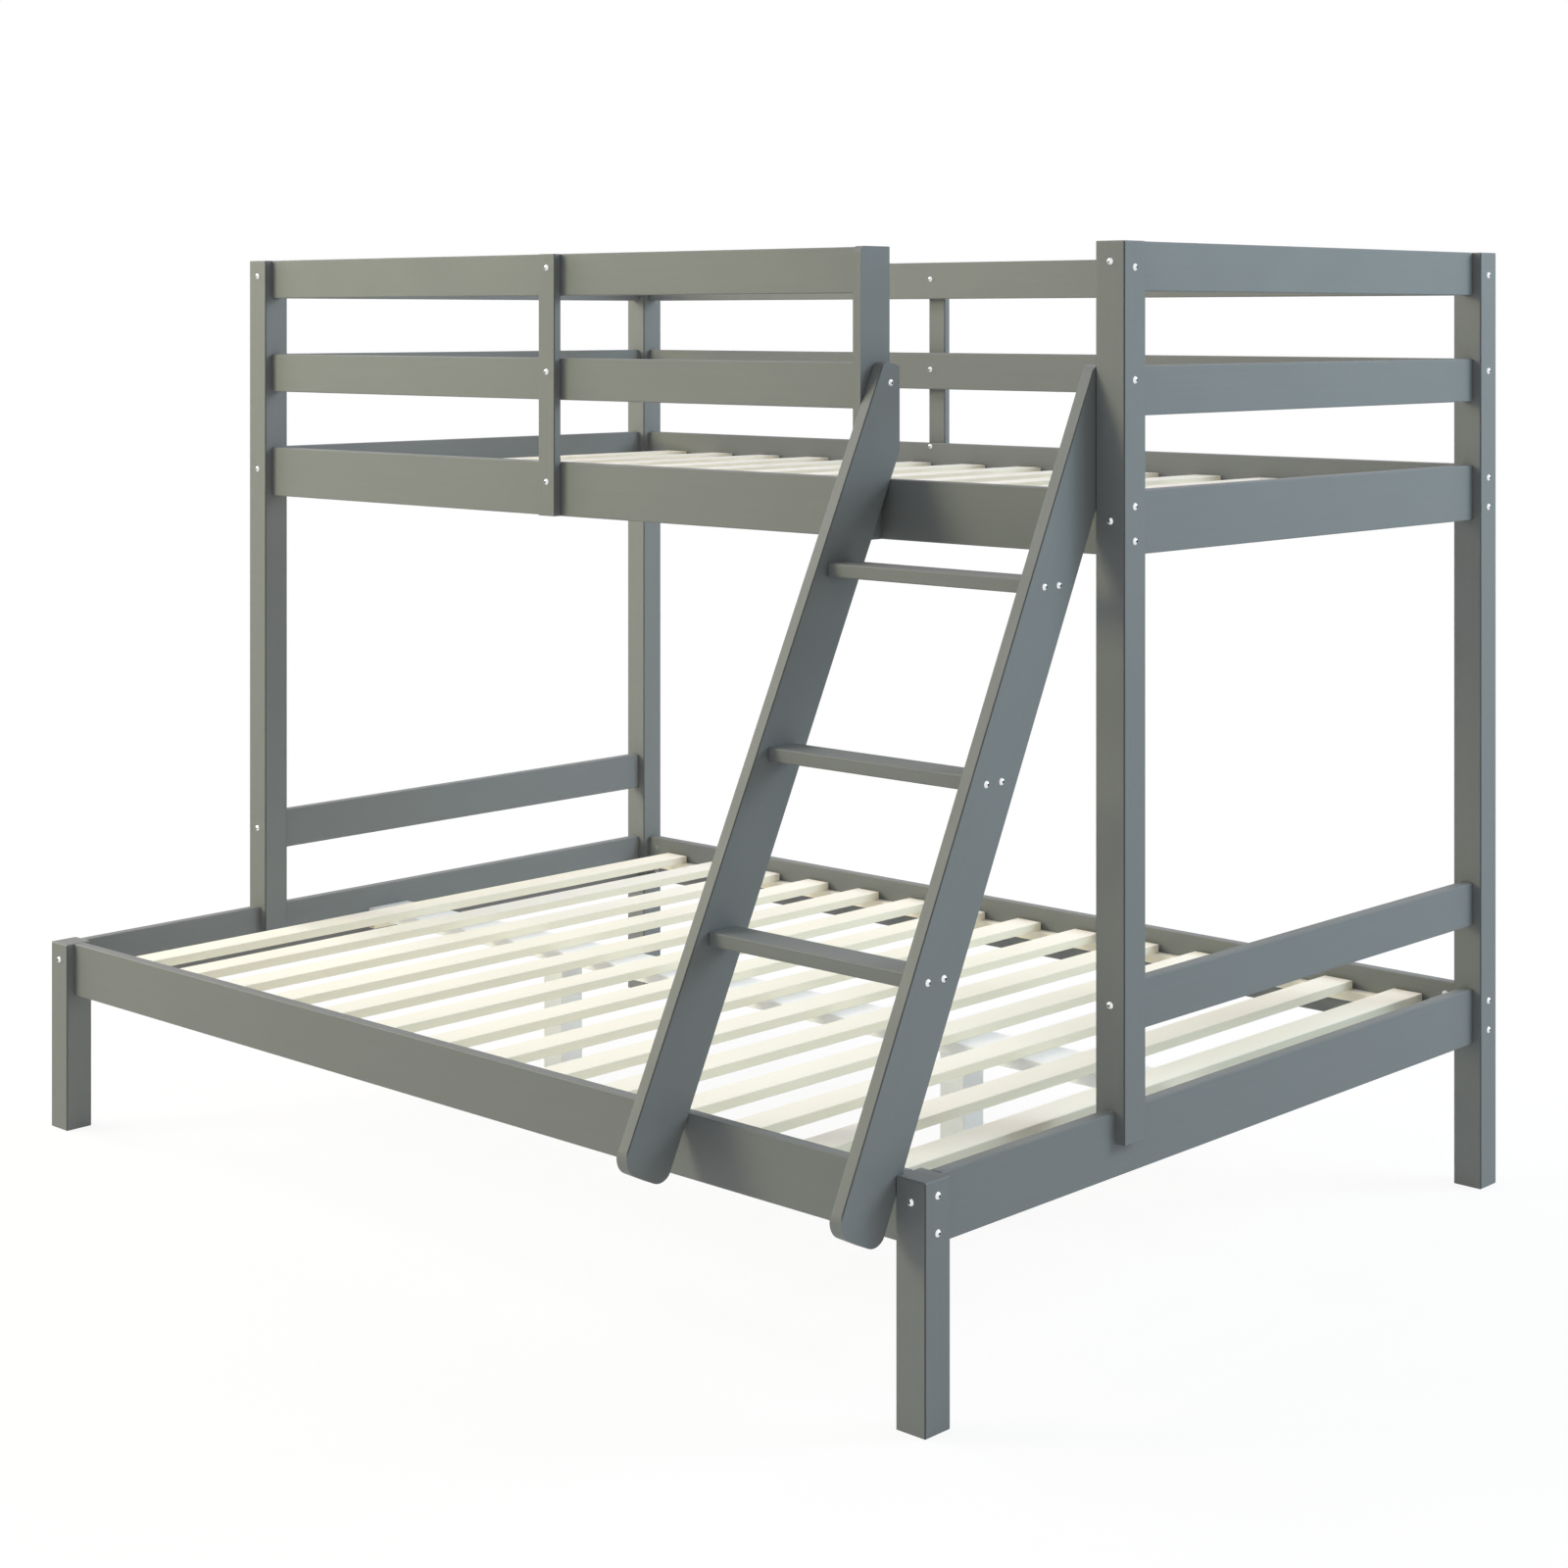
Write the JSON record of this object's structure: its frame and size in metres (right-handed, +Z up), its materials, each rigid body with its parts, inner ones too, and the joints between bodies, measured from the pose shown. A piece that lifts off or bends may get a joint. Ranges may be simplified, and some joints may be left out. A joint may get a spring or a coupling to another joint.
{
  "type": "bunk bed",
  "caption": "Painted timber bunk bed: wide slatted lower bed, narrower railed upper bunk set back over it, and a slanted ladder leaning on the two front rails.",
  "frame": {"origin": "on the floor, under the middle of the bounding box of the whole bed with its ladder", "axes": "+X along the bed towards the ladder's end, +Y from the ladder's side to the back, +Z up"},
  "size_m": [2.0252, 1.5587, 1.532],
  "materials": {
    "frame_paint": "satin grey paint",
    "slat_wood": "planed pale softwood, unpainted",
    "support_paint": "satin pale grey paint",
    "zinc_steel": "bright zinc plating",
    "dowel_wood": "plain beech"
  },
  "bodies": {
    "root": {"front_left_leg": "frame_paint", "front_right_leg": "frame_paint", "middle_left_post": "frame_paint", "middle_right_post": "frame_paint", "rear_left_post": "frame_paint", "rear_right_post": "frame_paint", "lower_front_rail": "frame_paint", "lower_back_rail": "frame_paint", "lower_left_end_rail": "frame_paint", "lower_right_end_rail": "frame_paint", "lower_left_guard_rail": "frame_paint", "lower_right_guard_rail": "frame_paint", "upper_front_rail": "frame_paint", "upper_back_rail": "frame_paint", "upper_left_end_rail": "frame_paint", "upper_right_end_rail": "frame_paint", "front_middle_guard_rail": "frame_paint", "front_top_guard_rail": "frame_paint", "back_middle_guard_rail": "frame_paint", "back_top_guard_rail": "frame_paint", "left_middle_guard_rail": "frame_paint", "left_top_guard_rail": "frame_paint", "right_middle_guard_rail": "frame_paint", "right_top_guard_rail": "frame_paint", "front_guard_post": "frame_paint", "back_guard_post": "frame_paint", "ladder_guard_board": "frame_paint", "ladder_left_stile": "frame_paint", "ladder_right_stile": "frame_paint", "ladder_rungs": "frame_paint", "lower_front_ledger": "slat_wood", "lower_back_ledger": "slat_wood", "upper_front_ledger": "slat_wood", "upper_back_ledger": "slat_wood", "lower_slats": "slat_wood", "upper_slats": "slat_wood", "centre_beam": "support_paint", "left_centre_leg": "support_paint", "right_centre_leg": "support_paint", "left_beam_cleat": "slat_wood", "right_beam_cleat": "slat_wood", "side_rail_bolts": "zinc_steel", "end_rail_bolts": "zinc_steel", "guard_post_bolts": "zinc_steel", "rung_bolts": "zinc_steel", "ladder_bolts": "zinc_steel", "barrel_nuts": "zinc_steel", "rail_inserts": "zinc_steel", "rung_inserts": "zinc_steel", "ladder_inserts": "zinc_steel", "guard_post_nuts": "zinc_steel", "rail_dowels": "dowel_wood", "board_dowels": "dowel_wood", "beam_dowels": "dowel_wood"}
  },
  "joints": []
}
